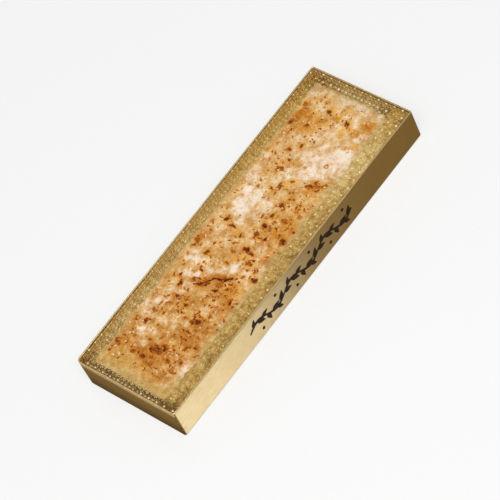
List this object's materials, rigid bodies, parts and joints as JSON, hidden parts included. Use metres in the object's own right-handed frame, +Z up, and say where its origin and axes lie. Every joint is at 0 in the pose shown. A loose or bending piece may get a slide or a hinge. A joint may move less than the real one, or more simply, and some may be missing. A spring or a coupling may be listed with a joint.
{
  "type": "nougat block in an open gold card case",
  "caption": "Oblong nougat block with a toasted crumbly top, lying in its own open case of gold card with a pearled gold paper border.",
  "frame": {"origin": "centre of the underside of the case", "axes": "+Z up; +Y along the length of the block; +X across it, towards the long side with the printed ornament"},
  "size_m": [0.0688, 0.21, 0.0214],
  "materials": {
    "gold_card": "satin metallic gold foil on card, with a soft brushed sheen and a lighter folded rim",
    "nougat_paste": "cream to caramel nougat, toasted in brown flecks on top, crumbly with a moist gloss",
    "gold_paper": "embossed gold foil paper with raised pearls and dark gold hollows"
  },
  "bodies": {
    "root": {"case": "gold_card", "nougat": "nougat_paste", "lace_border": "gold_paper"}
  },
  "joints": []
}
